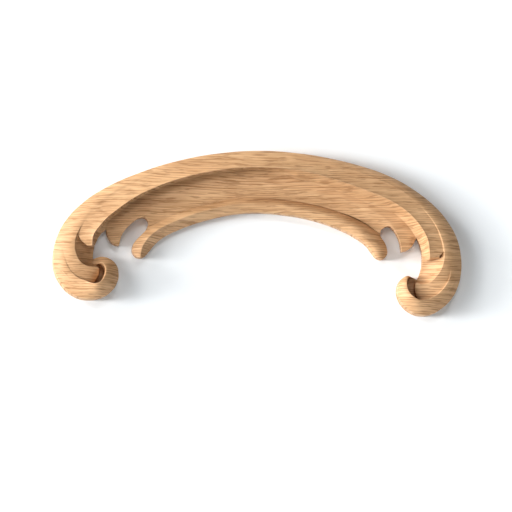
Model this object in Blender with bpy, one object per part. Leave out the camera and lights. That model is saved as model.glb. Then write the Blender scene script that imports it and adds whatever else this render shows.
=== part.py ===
"""Carved oak onlay: an arched C-scroll with a volute at each lower end and a lobed inner lip.

The arch stands in the XZ plane, +Z up. Its flat back lies in the plane y = 0 and the carved face looks
along -Y. The origin is on the back, in the middle of the band at the crown.

The carving is a set of swept strands, each lofted through ribs from its outer rail over its crest to its
foot. They are joined, then cut to the sawn outline, as a carver cuts the blank first and the relief after.
"""

import bpy
import bmesh
import math

MM = 0.001

# Overall sizes, in metres.
SPAN = 0.2041            # widest, over both arms
RISE = 0.0817            # crown to the foot of the longer arm
THICKNESS = 0.0165       # back to the highest crest
LIP_HEIGHT = 0.010       # back to the crest of the inner lip
COVE_HEIGHT = 0.007      # back to the hollow between rim and lip
FLOOR_HEIGHT = 0.004     # back to the deepest floor, in the eyes of the volutes

# The plan below is drawn in millimetres for these sizes. The sizes above stretch it.
DRAWN_SPAN = 204.1
DRAWN_RISE = 81.7
DRAWN_THICKNESS = 16.5
DRAWN_LIP = 10.0
DRAWN_COVE = 7.0

# How finely the strands and the outline are stepped.
STATION = 2.6            # mm between stations along a strand
OUTLINE_STEPS = 3        # straight steps between two drawn outline points
BEHIND = 1.0             # mm that the first strand runs on behind the back, before it is cut flat
BEHIND_STEP = 0.3        # mm more for each strand after it, so that no two ends share a plane
CLEAR = 3.0              # mm that the blank and the floor block pass the carving

# Roundness of each surface across the strand: above 1 it bulges.
BAND_BULGE = 1.8
LEAF_BULGE = 0.8
LIP_BULGE = 1.1          # left half
LIP_BULGE_RIGHT = 2.0
LIP_INNER = 0.9          # bulge of the lip's inner side, as a share of its outer side's
LIP_TURN = 0.35          # share of the lip's length before it starts to grow rounder
VOLUTE_BULGE = 1.7
VOLUTE_START_BULGE = 1.25
VOLUTE_REACH = 0.4       # share of a volute's length before its bulge is full
SCOOP_HOLLOW = 2.1       # hollow between the band's crest and its foot
WALL_HOLLOW = 25.0       # hollow under the leaf's crest on its left half, a wall at the top
SLOPE_HOLLOW = 2.4       # the same on its right half, a long slope
TIP_HOLLOW = 2.6         # the same at its left tip
LEAF_TURN = 0.42         # share of the leaf's length before the wall starts to ease into the slope
TIP_REACH = 0.25         # share of the leaf's length before its hollow is full
WEB_HOLLOW = 1.8         # hollow between the web's ridge and the lip

# Sawn outline, anticlockwise seen from the front: x, z, and 1 at a sharp corner.
OUTLINE = (
    (1, 14.9, 0), (-19.9, 13.6, 0), (-39.9, 10, 0), (-59.8, 3.9, 0), (-79.9, -5.2, 0),
    (-90, -12.3, 0), (-97.5, -20, 0), (-102, -28.5, 0), (-104, -37.5, 0), (-103.4, -46, 0),
    (-100, -52.7, 0), (-94.5, -57.8, 0), (-87, -60, 0), (-80, -58.9, 0), (-75, -55.8, 0),
    (-72.2, -51.3, 0), (-71.6, -47, 0), (-72.5, -43.2, 0), (-75.2, -40.2, 0), (-79.5, -38.5, 0),
    (-84.2, -39.6, 1), (-83.9, -35.4, 0), (-82.6, -31.2, 0), (-80.2, -27.1, 0), (-77.5, -24.7, 1),
    (-77, -27.5, 0), (-75.8, -30.2, 0), (-73.5, -32.3, 0), (-71.3, -32.9, 1), (-70, -28.1, 0),
    (-67.3, -24.1, 0), (-64.2, -21.1, 0), (-61.8, -19.3, 0), (-59.8, -18.7, 0), (-57.8, -19.1, 0),
    (-56.5, -20.8, 0), (-57, -23.7, 0), (-59.8, -27.2, 0), (-62.8, -30.3, 0), (-64.4, -33.5, 0),
    (-64, -36.8, 0), (-61.6, -38.8, 0), (-58.7, -38.4, 0), (-56.3, -36, 0), (-53.5, -32.5, 0),
    (-49.5, -28.9, 0), (-40, -24, 0), (-25, -19, 0), (-11.5, -16.3, 0), (1, -15.8, 0),
    (12.5, -16.8, 0), (25, -19, 0), (40, -24, 0), (49, -28.8, 0), (53.2, -32.1, 0),
    (55.8, -35.6, 0), (58, -38.1, 0), (60.8, -38.7, 0), (62.9, -36.8, 0), (63.1, -34, 0),
    (61.9, -30.5, 0), (60.1, -27.5, 0), (60.1, -24.5, 0), (62, -22.7, 0), (64.2, -22.2, 0),
    (66.5, -23.9, 0), (68.5, -26.9, 0), (69.8, -30.5, 0), (70.5, -34.8, 1), (73, -34.2, 0),
    (75.2, -32.7, 0), (76.8, -30.2, 0), (78, -27.7, 1), (79.8, -31.3, 0), (80.8, -35, 0),
    (81, -40, 0), (80.3, -44.5, 0), (78.5, -48.8, 1), (74.7, -47.4, 0), (71.3, -48, 0),
    (68.9, -50.8, 0), (68.1, -54.5, 0), (68.9, -58.6, 0), (71.2, -62.2, 0), (74.8, -65.2, 0),
    (79.5, -66.8, 0), (85, -66.2, 0), (90.5, -63.3, 0), (95.2, -58.7, 0), (98.4, -52.6, 0),
    (100.1, -45.4, 0), (100, -37.1, 0), (97.8, -28.1, 0), (93.1, -19.8, 0), (86.3, -11.9, 0),
    (76.9, -4.5, 0), (64.6, 2.4, 0), (49.7, 7.6, 0), (33.8, 11.4, 0), (17.9, 13.8, 0),
)
BAND = (
    ((-83.9, -51.6, 10), (-81.8, -48.2, 10.6), (-80.8, -47.2, 4.5)),
    ((-85.7, -53, 11), (-81.5, -46.2, 11.2), (-80.4, -45.3, 4.5)),
    ((-88.5, -53.5, 12), (-82, -44.4, 12.1), (-80.8, -43, 4.5)),
    ((-91.6, -52.8, 12.2), (-84.4, -44.1, 12.7), (-83, -41.7, 4.6)),
    ((-95.6, -50.8, 12.3), (-87.6, -43.7, 13.1), (-84.5, -40.6, 4.8)),
    ((-99, -47.5, 12), (-90.7, -41.9, 13.3), (-84.2, -39.2, 5)),
    ((-102.4, -42.4, 10.5), (-92.8, -38.6, 13.4), (-83.2, -37.3, 5)),
    ((-105.5, -35.7, 8), (-93.8, -34.2, 13.8), (-82.2, -34.2, 5)),
    ((-105, -29.7, 8), (-93.3, -29.2, 14), (-81.4, -30.7, 5)),
    ((-102, -22.7, 8), (-91, -24.5, 14), (-82, -27.5, 6)),
    ((-97, -15.7, 8), (-87, -19, 14), (-84.2, -20.2, 8)),
    ((-90.5, -9.9, 8), (-82, -13.7, 13.8), (-80.3, -14.5, 9)),
    ((-78.4, -3.2, 8), (-75.7, -8.4, 13.4), (-74.4, -9.3, 9)),
    ((-65.6, 3.1, 8), (-63.9, -1.9, 12.9), (-62.9, -2.9, 9)),
    ((-46, 9.7, 8), (-45.3, 5.2, 12.5), (-44.6, 4, 9)),
    ((-23.4, 14.5, 8), (-23.1, 10.3, 12.3), (-22.5, 9.1, 9)),
    ((0.3, 16.1, 8), (-0.1, 11.9, 12.3), (0.2, 10.7, 9)),
    ((20.5, 15, 8), (19.4, 10.7, 12.3), (19.5, 9.5, 9)),
    ((40.6, 11.3, 8), (39.2, 6.9, 12.5), (39.1, 5.8, 9)),
    ((59.8, 5.7, 8), (57.4, 1.1, 12.8), (57.1, 0.1, 9)),
    ((74, -1, 8), (70.6, -5.4, 13.3), (70.1, -6.2, 9)),
    ((84.3, -8.4, 8), (79.3, -12.7, 13.8), (78.6, -13.3, 9)),
    ((92.3, -14.9, 8), (84.8, -19, 14), (82.8, -20.2, 8)),
    ((97.8, -23.2, 8), (88.4, -25, 14), (81, -27.5, 6)),
    ((100.8, -31.2, 8), (90.8, -32.2, 14), (79.8, -32.4, 5)),
    ((101.5, -39.2, 8), (91.2, -38.7, 13.8), (78.8, -37.4, 5)),
    ((98.9, -47.4, 9.9), (89.3, -44.9, 13.4), (78.8, -41.7, 5)),
    ((95.2, -52.6, 12.2), (86.1, -48.9, 12.7), (78.7, -45.2, 5)),
    ((91.4, -56.9, 12.7), (83.2, -51.2, 11.9), (78.6, -47.7, 4.8)),
    ((86.9, -59.9, 12.7), (80, -51.6, 11.2), (78.1, -48.9, 4.6)),
    ((82.9, -61.3, 12.2), (77.7, -50.7, 10.7), (77.6, -49.3, 4.5)),
    ((79.8, -60.7, 11.2), (77, -51.9, 10.5), (76.9, -51.2, 4.5)),
    ((78.3, -59.1, 10), (76.8, -54.7, 10.6), (76.7, -54.1, 4.5)),
)
LEAF = (
    ((-87.4, -33.5, 12.6), (-85.1, -33.6, 13.2), (-81.6, -34.1, 4)),
    ((-89.1, -32.2, 12.9), (-85.1, -31.5, 14.7), (-80.3, -30.8, 4.3)),
    ((-90.7, -30.7, 13.2), (-85, -29.6, 15.6), (-79.6, -28.4, 4.8)),
    ((-91.7, -28.8, 13.3), (-84.4, -27.9, 15.8), (-78.8, -26.5, 5.2)),
    ((-92.4, -26.4, 13.4), (-83.5, -26.3, 16), (-77.5, -25.1, 5.5)),
    ((-91.9, -23.7, 13.6), (-81.9, -24.3, 16.1), (-75.9, -24.7, 5.8)),
    ((-88.5, -18.7, 13.7), (-78.4, -20.3, 16.2), (-72.5, -21.3, 6)),
    ((-82.5, -13.1, 13.6), (-72.4, -15.3, 16.3), (-66.6, -16.6, 6.2)),
    ((-75.9, -8.1, 13.3), (-63.9, -9.4, 16.4), (-58.5, -10.1, 6.2)),
    ((-64, -1.6, 12.8), (-52.9, -4, 16.5), (-48.1, -5.1, 6.3)),
    ((-45.4, 5.5, 12.4), (-38.9, 0.8, 16.5), (-35.3, -1.8, 6.4)),
    ((-23.1, 10.6, 12.2), (-20.9, 4.7, 16.5), (-19.5, 0.7, 6.5)),
    ((-0.1, 12.2, 12.2), (-0.4, 6.1, 16.5), (-0.7, 1.9, 6.5)),
    ((19.5, 11, 12.3), (17.6, 4.8, 16.5), (16.2, 0.3, 6.5)),
    ((39.2, 7.2, 12.8), (36.1, 0.3, 16.3), (33.6, -5.1, 6.5)),
    ((57.5, 1.4, 13.2), (52.1, -5.1, 15.9), (47.7, -10.5, 6.6)),
    ((70.8, -5.2, 13.5), (64.1, -10, 15.5), (58.1, -14.4, 6.6)),
    ((79.8, -12.3, 13.7), (71.4, -14.6, 15.2), (64.7, -16.4, 6.4)),
    ((85.7, -18.6, 13.6), (77.2, -20.1, 15), (70.8, -21.2, 6.2)),
    ((89.4, -24.7, 13.4), (80.9, -25.3, 14.9), (75, -25.7, 5.8)),
    ((91.1, -30.2, 13.2), (83, -30.1, 14.9), (78.5, -29.7, 5.5)),
    ((91.2, -33.7, 13.3), (83.6, -33.8, 14.8), (79.3, -33.5, 5.2)),
    ((90.5, -35.8, 13.5), (83.8, -36.6, 14.3), (79.8, -35.8, 4.8)),
    ((88.7, -38, 13.4), (84, -38.8, 13), (80.3, -38.2, 4.3)),
    ((89.7, -38.5, 11), (84.3, -39.4, 8.8), (81, -39.7, 4)),
)
WEB = (
    ((-78.4, -33.4, 5), (-76.1, -35.1, 6.4), (-71.6, -35.6, 7.2), (-68.6, -35.6, 6.9)),
    ((-79.5, -28.5, 5.2), (-75.6, -30.1, 6.6), (-70.1, -31.1, 7.4), (-66.6, -31.6, 7)),
    ((-79, -24, 5.6), (-74.1, -25.6, 6.6), (-68.2, -26.2, 7.7), (-64.1, -27.1, 6.8)),
    ((-76.5, -19.5, 6), (-71.6, -21.1, 6.5), (-65.2, -21.9, 8), (-60.6, -23.6, 6.7)),
    ((-72.5, -15.5, 6.1), (-67.1, -17.1, 6.4), (-61.2, -19.5, 8.2), (-56.8, -23.1, 6.7)),
    ((-67.5, -11.8, 6.1), (-61.6, -13.3, 6.4), (-56.2, -16.2, 8.1), (-51.6, -20.9, 6.9)),
    ((-59.5, -7, 6.1), (-55.1, -9.6, 6.4), (-50.7, -13.9, 7.6), (-46.1, -18.1, 7.1)),
    ((-50.5, -3, 6.2), (-46.6, -5.8, 6.5), (-43.1, -10.6, 7.3), (-40.1, -15.5, 7.2)),
    ((-37.1, 1.7, 6.4), (-35.1, -1.8, 6.6), (-33.1, -6.9, 7.2), (-31.3, -12.8, 7.1)),
    ((-19.6, 5.2, 6.7), (-18.6, 1.4, 6.8), (-17.6, -3.6, 7.3), (-16.7, -9.6, 6.9)),
    ((0.4, 6.4, 6.8), (0.4, 2.6, 6.9), (0.3, -3.2, 7.5), (0.4, -8.5, 6.6)),
    ((17.9, 5.2, 6.7), (17.4, 1.4, 6.9), (16.5, -3.9, 7.6), (15.2, -9.7, 6.4)),
    ((35.4, 1.2, 6.5), (34.1, -2.1, 7), (32.7, -6.6, 7.6), (30.5, -12.5, 6.2)),
    ((48.4, -3.1, 6.4), (45.9, -6.1, 7.1), (43.4, -9.6, 7.7), (39.5, -15.3, 6.2)),
    ((58.4, -7.3, 6.4), (54.9, -10.1, 7.1), (50.9, -12.3, 7.7), (46, -17.5, 6.2)),
    ((66.9, -11.3, 6.3), (63.4, -13.9, 7.1), (58, -15.9, 7.7), (52.5, -20.8, 6.2)),
    ((72.5, -15.3, 6.2), (68.4, -17.6, 7.1), (62.6, -18.8, 7.7), (57, -24, 6.1)),
    ((76.5, -20, 6), (71.9, -22.1, 7), (66, -22.4, 7.7), (60.9, -26.6, 6.3)),
    ((78.8, -25, 5.6), (73.9, -26.1, 6.8), (67.8, -26.7, 7.7), (63.9, -28.1, 6.8)),
    ((78.3, -29.5, 5.2), (74.9, -30.6, 6.7), (69.4, -31.1, 7.4), (65.9, -31.6, 7)),
    ((77.7, -35.4, 5), (73.9, -36.6, 6.5), (70.4, -36.6, 7.2), (67.4, -36.6, 6.9)),
)
LIP = (
    ((-66, -41, 6), (-60.5, -41.8, 9), (-54.4, -40.9, 4)),
    ((-66.8, -36.5, 6), (-60.6, -37.3, 9.3), (-54.3, -37.3, 3.5)),
    ((-66, -33, 6), (-59.7, -33.6, 9.6), (-52.3, -34.3, 3)),
    ((-63.5, -29.5, 5.8), (-57.5, -30, 9.8), (-50.3, -31.8, 3)),
    ((-60, -25.7, 5.6), (-53.6, -26.3, 10), (-46.8, -29.3, 3)),
    ((-56.6, -22.7, 5.6), (-49.2, -23.5, 10), (-42.8, -27, 3)),
    ((-51, -20, 6.4), (-44.3, -21.2, 10), (-37.8, -24.8, 3)),
    ((-44.3, -16.7, 6.6), (-38.5, -18.8, 10), (-32.3, -22.8, 3.2)),
    ((-36.8, -13.9, 6.6), (-31.6, -16.4, 10), (-25.8, -21.1, 3.6)),
    ((-26.4, -11.2, 6.4), (-22.8, -14.1, 10), (-18.4, -19.4, 4.2)),
    ((-14.1, -8.7, 6.6), (-12.4, -12, 10), (-9.9, -18.2, 4.6)),
    ((0.4, -8.5, 6.6), (0.1, -11.5, 10), (0.6, -17.8, 5)),
    ((14.4, -9.7, 6.5), (12.6, -12.9, 10), (11.6, -18.9, 5)),
    ((25.9, -11.6, 6.3), (23.1, -14.9, 10), (21.1, -20.2, 5)),
    ((37.5, -14.7, 6.1), (34.1, -17.9, 10), (30.1, -22.7, 5)),
    ((45.5, -17.7, 5.9), (41.1, -20.6, 10), (36.6, -24.9, 5)),
    ((52, -20.7, 5.7), (47.1, -23.9, 10), (42.1, -27.7, 5)),
    ((57, -24, 5.4), (51.6, -27.6, 10), (46.6, -30.7, 5)),
    ((61.8, -26.8, 5), (55, -31.3, 9.8), (50.1, -33.4, 5)),
    ((64.6, -30.9, 5), (58.2, -34.3, 9.6), (52.6, -36.4, 5)),
    ((65.6, -34.9, 5), (59.1, -37.3, 9.3), (53.1, -38.9, 5)),
    ((65.6, -39.4, 5), (59.2, -41.3, 9), (53.6, -41.4, 5)),
)
VOLUTE_LEFT = (
    ((-103.6, -23.6, 7.2), (-98, -24.5, 11.2), (-97.4, -24.6, 7)),
    ((-105.4, -28.7, 7.7), (-98.7, -29, 11.9), (-98.1, -29.1, 8)),
    ((-105.7, -34.2, 8), (-99.1, -34.1, 12.2), (-98.5, -34.1, 9)),
    ((-105.7, -39.7, 8.2), (-98.7, -39.3, 12.3), (-98.1, -39.3, 9)),
    ((-105.2, -45.7, 8.2), (-97.2, -43.9, 12.7), (-96.6, -43.7, 9)),
    ((-103.2, -51.7, 8.2), (-94.6, -47.5, 12.9), (-94.1, -47.3, 9)),
    ((-99.7, -56.7, 8), (-91.4, -50, 13.4), (-91, -49.6, 8)),
    ((-94.7, -60.5, 8), (-88.5, -51.1, 14.2), (-88.2, -50.6, 6.5)),
    ((-88.2, -62, 8), (-85.8, -52.3, 15.4), (-85.7, -51.8, 4.5)),
    ((-81.7, -61.2, 8), (-82.7, -52.5, 16.5), (-82.8, -51.9, 4.5)),
    ((-76.2, -58.5, 8), (-80.3, -51, 16.2), (-80.6, -50.5, 4.5)),
    ((-72.2, -54.2, 8), (-78.8, -48.3, 15.3), (-79.3, -47.9, 4.5)),
    ((-70.3, -48.7, 7.8), (-78.3, -45.6, 14), (-78.8, -45.4, 4.5)),
    ((-70.9, -43.2, 7.5), (-78.9, -43.1, 12.2), (-79.7, -43.1, 6)),
    ((-74.1, -39.3, 6.8), (-80.4, -41.8, 10.3), (-81.6, -42.3, 7.2)),
    ((-78.5, -37.2, 5.4), (-82, -41.7, 6.7), (-83, -43, 5.3)),
    ((-82.4, -37.4, 4.6), (-83.7, -42, 5.3), (-84.1, -43.4, 4.8)),
    ((-85.8, -38.3, 3.6), (-85.6, -42.4, 4.2), (-85.5, -43.9, 3.8)),
)
VOLUTE_RIGHT = (
    ((100.1, -34.7, 7.6), (93.6, -35, 12), (93, -35.1, 7)),
    ((101.1, -39.7, 7.8), (94.1, -39.6, 12.3), (93.5, -39.6, 8)),
    ((101.3, -44.7, 8), (94.5, -43.8, 12.5), (93.9, -43.8, 9)),
    ((100.5, -50.2, 8.2), (93.9, -48.4, 12.8), (93.3, -48.2, 9)),
    ((98.3, -56, 8.2), (91.8, -52.4, 13.3), (91.3, -52.1, 9)),
    ((94.5, -61.2, 8.2), (89, -55.7, 13.9), (88.6, -55.2, 9)),
    ((89.8, -65.2, 8), (85.8, -58, 14.6), (85.5, -57.5, 8)),
    ((83.8, -68.2, 8), (82.2, -59.5, 15.4), (82, -58.9, 6.5)),
    ((77.3, -68.5, 8), (78.7, -59.7, 16.1), (78.8, -59.1, 4.5)),
    ((71.5, -65.7, 8), (75.9, -58.4, 16.5), (76.2, -57.9, 4.5)),
    ((67.5, -61, 8), (73.7, -56.3, 16.2), (74.2, -56, 4.5)),
    ((65.8, -55.4, 7.8), (72.6, -53.8, 15.3), (73.1, -53.6, 4.5)),
    ((66.9, -50.4, 7.4), (72.4, -50.9, 14.2), (73, -50.9, 4.5)),
    ((69.9, -46.1, 6.8), (73.2, -48.5, 12.2), (73.8, -48.9, 4.5)),
    ((73, -44.5, 6), (74.4, -47.1, 9.2), (75, -48.1, 4.3)),
    ((75.8, -44.4, 4.8), (76, -47, 6), (76, -48.2, 4)),
    ((79.7, -45.8, 3.8), (78.4, -49.1, 4.4), (78, -50.1, 3.6)),
)

RISE_SHARES = (0, 0.12, 0.28, 0.5, 0.75, 1)
FALL_SHARES = (0.09, 0.25, 0.5, 1)
WEB_SHARES = (0, 0.5)
WEB_FALL_SHARES = (0, 0.3, 1)
WELD = 0.00001
OAK_COLOUR = (0.60, 0.37, 0.19, 1)
OAK_ROUGHNESS = 0.55


def place(x, z, height):
    """A drawn point in millimetres, at its place on the object in metres. Height is off the back."""
    return (x * SPAN / DRAWN_SPAN, -height * MM, z * RISE / DRAWN_RISE)


def slopes_of(knots, values):
    """Slopes of a smooth curve through the values, each from the values on both sides of it."""
    chords = [
        (after - before) / (end - start)
        for before, after, start, end in zip(values, values[1:], knots, knots[1:])
    ]
    slopes = [chords[0]]
    for i in range(1, len(chords)):
        before = knots[i] - knots[i - 1]
        after = knots[i + 1] - knots[i]
        slopes.append((chords[i - 1] * after + chords[i] * before) / (before + after))
    slopes.append(chords[-1])
    return slopes


def between(share, length, start, end, slope_start, slope_end):
    """The value at a share of the way from start to end, leaving and arriving at the slopes."""
    square = share * share
    cube = square * share
    return (
        (2 * cube - 3 * square + 1) * start
        + (cube - 2 * square + share) * length * slope_start
        + (3 * square - 2 * cube) * end
        + (cube - square) * length * slope_end
    )


def stations(ribs):
    """Ribs at close steps along a strand, smooth through the drawn ones."""
    knots = [0.0]
    for before, after in zip(ribs, ribs[1:]):
        moves = [math.dist(old[:2], new[:2]) for old, new in zip(before, after)]
        knots.append(knots[-1] + sum(moves) / len(moves))
    rails = range(len(ribs[0]))
    slopes = [
        [slopes_of(knots, [rib[rail][axis] for rib in ribs]) for axis in range(3)]
        for rail in rails
    ]
    found = []
    for i, (rib, after) in enumerate(zip(ribs, ribs[1:])):
        length = knots[i + 1] - knots[i]
        pieces = max(1, round(length / STATION))
        for piece in range(pieces):
            found.append([
                [
                    between(
                        piece / pieces, length, rib[rail][axis], after[rail][axis],
                        slopes[rail][axis][i], slopes[rail][axis][i + 1],
                    )
                    for axis in range(3)
                ]
                for rail in rails
            ])
    found.append(ribs[-1])
    return found


def mixed(start, end, share, height):
    x = start[0] + (end[0] - start[0]) * share
    z = start[1] + (end[1] - start[1]) * share
    return (x, z, height)


def grown(start, full, share):
    """A value that grows evenly from its start, and stays once it is full."""
    return start + (full - start) * min(1, max(0, share))


def ridge(rib, bulge, fall):
    """Section points of a strand with a crest: they bulge up to it, then go down to the foot."""
    outer, crest, foot = rib
    points = []
    for share in RISE_SHARES:
        height = outer[2] + (crest[2] - outer[2]) * (1 - (1 - share) ** bulge)
        points.append(mixed(outer, crest, share, height))
    for share in FALL_SHARES:
        height = foot[2] + (crest[2] - foot[2]) * fall(share)
        points.append(mixed(crest, foot, share, height))
    return points


def band_section(rib, _):
    return ridge(rib, BAND_BULGE, lambda share: (1 - share) ** SCOOP_HOLLOW)


def leaf_section(rib, along):
    """Under the leaf's crest stands a wall on its left half, and a long hollow slope on its right half."""
    hollow = grown(WALL_HOLLOW, SLOPE_HOLLOW, (along - LEAF_TURN) / (1 - 2 * LEAF_TURN))
    hollow = grown(TIP_HOLLOW, hollow, along / TIP_REACH)
    return ridge(rib, LEAF_BULGE, lambda share: (1 - share) ** hollow)


def lip_section(rib, along):
    """The lip has a crisp crest on its left half and a rounder one on its right half."""
    bulge = grown(LIP_BULGE, LIP_BULGE_RIGHT, (along - LIP_TURN) / (1 - 2 * LIP_TURN))
    return ridge(rib, bulge, lambda share: 1 - share ** (bulge * LIP_INNER))


def volute_section(rib, along):
    """A volute grows out of the band, so it starts with the band's own roundness there."""
    bulge = grown(VOLUTE_START_BULGE, VOLUTE_BULGE, along / VOLUTE_REACH)
    return ridge(rib, bulge, lambda share: 1 - share)


def web_section(rib, _):
    """Section of the web: smooth over three rails up to its ridge, then hollow down to the lip."""
    *rise, inner = rib
    slopes = slopes_of((0, 1, 2), [rail[2] for rail in rise])
    points = []
    for i, (rail, after) in enumerate(zip(rise, rise[1:])):
        for share in WEB_SHARES:
            height = between(share, 1, rail[2], after[2], slopes[i], slopes[i + 1])
            points.append(mixed(rail, after, share, height))
    crest = rise[-1]
    for share in WEB_FALL_SHARES:
        height = inner[2] + (crest[2] - inner[2]) * (1 - share) ** WEB_HOLLOW
        points.append(mixed(crest, inner, share, height))
    return points


def scaled(ribs, *scales):
    """Ribs with each rail's height stretched by its own scale."""
    return [
        [(x, z, height * scale) for (x, z, height), scale in zip(rib, scales)]
        for rib in ribs
    ]


def strand(name, ribs, section, behind):
    """Lofts a closed solid through the ribs, from its carved top to a plane behind the back."""
    mesh = bmesh.new()
    rings = []
    ribs = stations(ribs)
    for order, rib in enumerate(ribs):
        top = section(rib, order / (len(ribs) - 1))
        outline = [(top[0][0], top[0][1], -behind), *top, (top[-1][0], top[-1][1], -behind)]
        rings.append([mesh.verts.new(place(*point)) for point in outline])
    for ring, after in zip(rings, rings[1:]):
        for i in range(len(ring)):
            j = (i + 1) % len(ring)
            mesh.faces.new((ring[i], ring[j], after[j], after[i]))
    mesh.faces.new(rings[0])
    mesh.faces.new(reversed(rings[-1]))
    bmesh.ops.triangulate(mesh, faces=list(mesh.faces))
    bmesh.ops.recalc_face_normals(mesh, faces=list(mesh.faces))
    data = bpy.data.meshes.new(name)
    mesh.to_mesh(data)
    mesh.free()
    return bpy.data.objects.new(name, data)


def blank(name):
    """The sawn outline as a board: a closed curve extruded past the highest crest, flat at y = 0."""
    curve = bpy.data.curves.new(name, "CURVE")
    curve.dimensions = "2D"
    curve.fill_mode = "BOTH"
    depth = THICKNESS + CLEAR * MM
    curve.extrude = depth / 2
    curve.resolution_u = OUTLINE_STEPS
    spline = curve.splines.new("BEZIER")
    spline.bezier_points.add(len(OUTLINE) - 1)
    spline.use_cyclic_u = True
    for point, (x, z, sharp) in zip(spline.bezier_points, OUTLINE):
        px, _, pz = place(x, z, 0)
        point.co = (px, pz, 0)
        point.handle_left_type = "VECTOR" if sharp else "AUTO"
        point.handle_right_type = "VECTOR" if sharp else "AUTO"
    drawn = bpy.data.objects.new(name + "_curve", curve)
    bpy.context.scene.collection.objects.link(drawn)
    drawn.rotation_euler = (math.radians(90), 0, 0)
    drawn.location = (0, -depth / 2, 0)
    bpy.context.view_layer.update()
    graph = bpy.context.evaluated_depsgraph_get()
    data = bpy.data.meshes.new_from_object(drawn.evaluated_get(graph))
    data.transform(drawn.matrix_world)
    bpy.data.objects.remove(drawn)
    mesh = bmesh.new()
    mesh.from_mesh(data)
    bmesh.ops.remove_doubles(mesh, verts=list(mesh.verts), dist=WELD)
    bmesh.ops.recalc_face_normals(mesh, faces=list(mesh.faces))
    mesh.to_mesh(data)
    mesh.free()
    data.name = name
    return bpy.data.objects.new(name, data)


def floor_block(name):
    """The deepest level: a plain block under the whole plan."""
    xs = [place(x, z, 0)[0] for x, z, _ in OUTLINE]
    zs = [place(x, z, 0)[2] for x, z, _ in OUTLINE]
    margin = CLEAR * MM
    low = (min(xs) - margin, -FLOOR_HEIGHT, min(zs) - margin)
    high = (max(xs) + margin, margin, max(zs) + margin)
    mesh = bmesh.new()
    bmesh.ops.create_cube(mesh, size=1)
    for vert in mesh.verts:
        vert.co = [a + (b - a) * (c + 0.5) for a, b, c in zip(low, high, vert.co)]
    data = bpy.data.meshes.new(name)
    mesh.to_mesh(data)
    mesh.free()
    return bpy.data.objects.new(name, data)


def oak():
    material = bpy.data.materials.new("oak")
    material.use_nodes = True
    shader = material.node_tree.nodes["Principled BSDF"]
    shader.inputs["Base Color"].default_value = OAK_COLOUR
    shader.inputs["Roughness"].default_value = OAK_ROUGHNESS
    shader.inputs["Metallic"].default_value = 0
    material.diffuse_color = OAK_COLOUR
    return material


def boolean(target, name, operation, other):
    modifier = target.modifiers.new(name, "BOOLEAN")
    modifier.operation = operation
    modifier.solver = "EXACT"
    modifier.object = other


def main():
    for old in list(bpy.data.objects):
        bpy.data.objects.remove(old)
    parts = bpy.data.collections.new("corner_wood_onlay")
    helpers = bpy.data.collections.new("carving_helpers")
    helpers.hide_render = True
    bpy.context.scene.collection.children.link(parts)
    bpy.context.scene.collection.children.link(helpers)

    relief = THICKNESS / (DRAWN_THICKNESS * MM)
    lip = LIP_HEIGHT / (DRAWN_LIP * MM)
    cove = COVE_HEIGHT / (DRAWN_COVE * MM)
    drawn = (
        ("band", scaled(BAND, relief, relief, relief), band_section),
        ("leaf", scaled(LEAF, relief, relief, cove), leaf_section),
        ("web", scaled(WEB, cove, cove, cove, cove), web_section),
        ("lip", scaled(LIP, cove, lip, cove), lip_section),
        ("volute_left", scaled(VOLUTE_LEFT, relief, relief, relief), volute_section),
        ("volute_right", scaled(VOLUTE_RIGHT, relief, relief, relief), volute_section),
    )
    carving = floor_block("carving")
    helpers.objects.link(carving)
    for order, (name, ribs, section) in enumerate(drawn):
        piece = strand(name, ribs, section, BEHIND + BEHIND_STEP * order)
        helpers.objects.link(piece)
        piece.display_type = "WIRE"
        piece.hide_render = True
        boolean(carving, "join " + name, "UNION", piece)
    carving.display_type = "WIRE"
    carving.hide_render = True

    onlay = blank("onlay")
    parts.objects.link(onlay)
    onlay.data.materials.append(oak())
    boolean(onlay, "carve", "INTERSECT", carving)


main()
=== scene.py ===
"""Looks of the carved oak onlay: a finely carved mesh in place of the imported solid, its oak and a studio.

The plan is drawn in millimetres as the solid's is: strands lofted through ribs, joined, then cut to the
sawn outline. Here the strands have close stations and full sections, so that every surface is smooth.
"""

import math

import bmesh
import bpy
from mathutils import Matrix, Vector


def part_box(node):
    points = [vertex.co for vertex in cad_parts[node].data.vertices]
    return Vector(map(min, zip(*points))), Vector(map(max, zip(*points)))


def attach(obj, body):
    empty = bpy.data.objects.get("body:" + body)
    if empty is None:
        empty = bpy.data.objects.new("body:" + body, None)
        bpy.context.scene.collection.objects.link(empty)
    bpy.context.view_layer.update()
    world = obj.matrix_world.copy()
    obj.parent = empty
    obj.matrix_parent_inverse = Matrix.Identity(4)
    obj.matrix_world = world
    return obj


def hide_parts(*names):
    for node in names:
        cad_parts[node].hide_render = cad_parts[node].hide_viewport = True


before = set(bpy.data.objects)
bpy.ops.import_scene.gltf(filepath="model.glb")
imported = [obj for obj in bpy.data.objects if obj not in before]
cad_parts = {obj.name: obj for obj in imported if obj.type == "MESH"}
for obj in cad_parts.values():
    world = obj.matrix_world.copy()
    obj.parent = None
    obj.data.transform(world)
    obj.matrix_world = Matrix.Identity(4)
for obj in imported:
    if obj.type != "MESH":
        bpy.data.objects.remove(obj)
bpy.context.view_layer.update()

MM = 0.001
PHOTO_SIDE = 512         # pixels along each side of the picture

# The drawn plan's own size, which place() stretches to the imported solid's box.
node_low, node_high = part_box("onlay")
DRAWN_THICKNESS = 16.5
DRAWN_LOW = (-104.2, -66.9)
DRAWN_HIGH = (100.3, 14.9)

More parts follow.
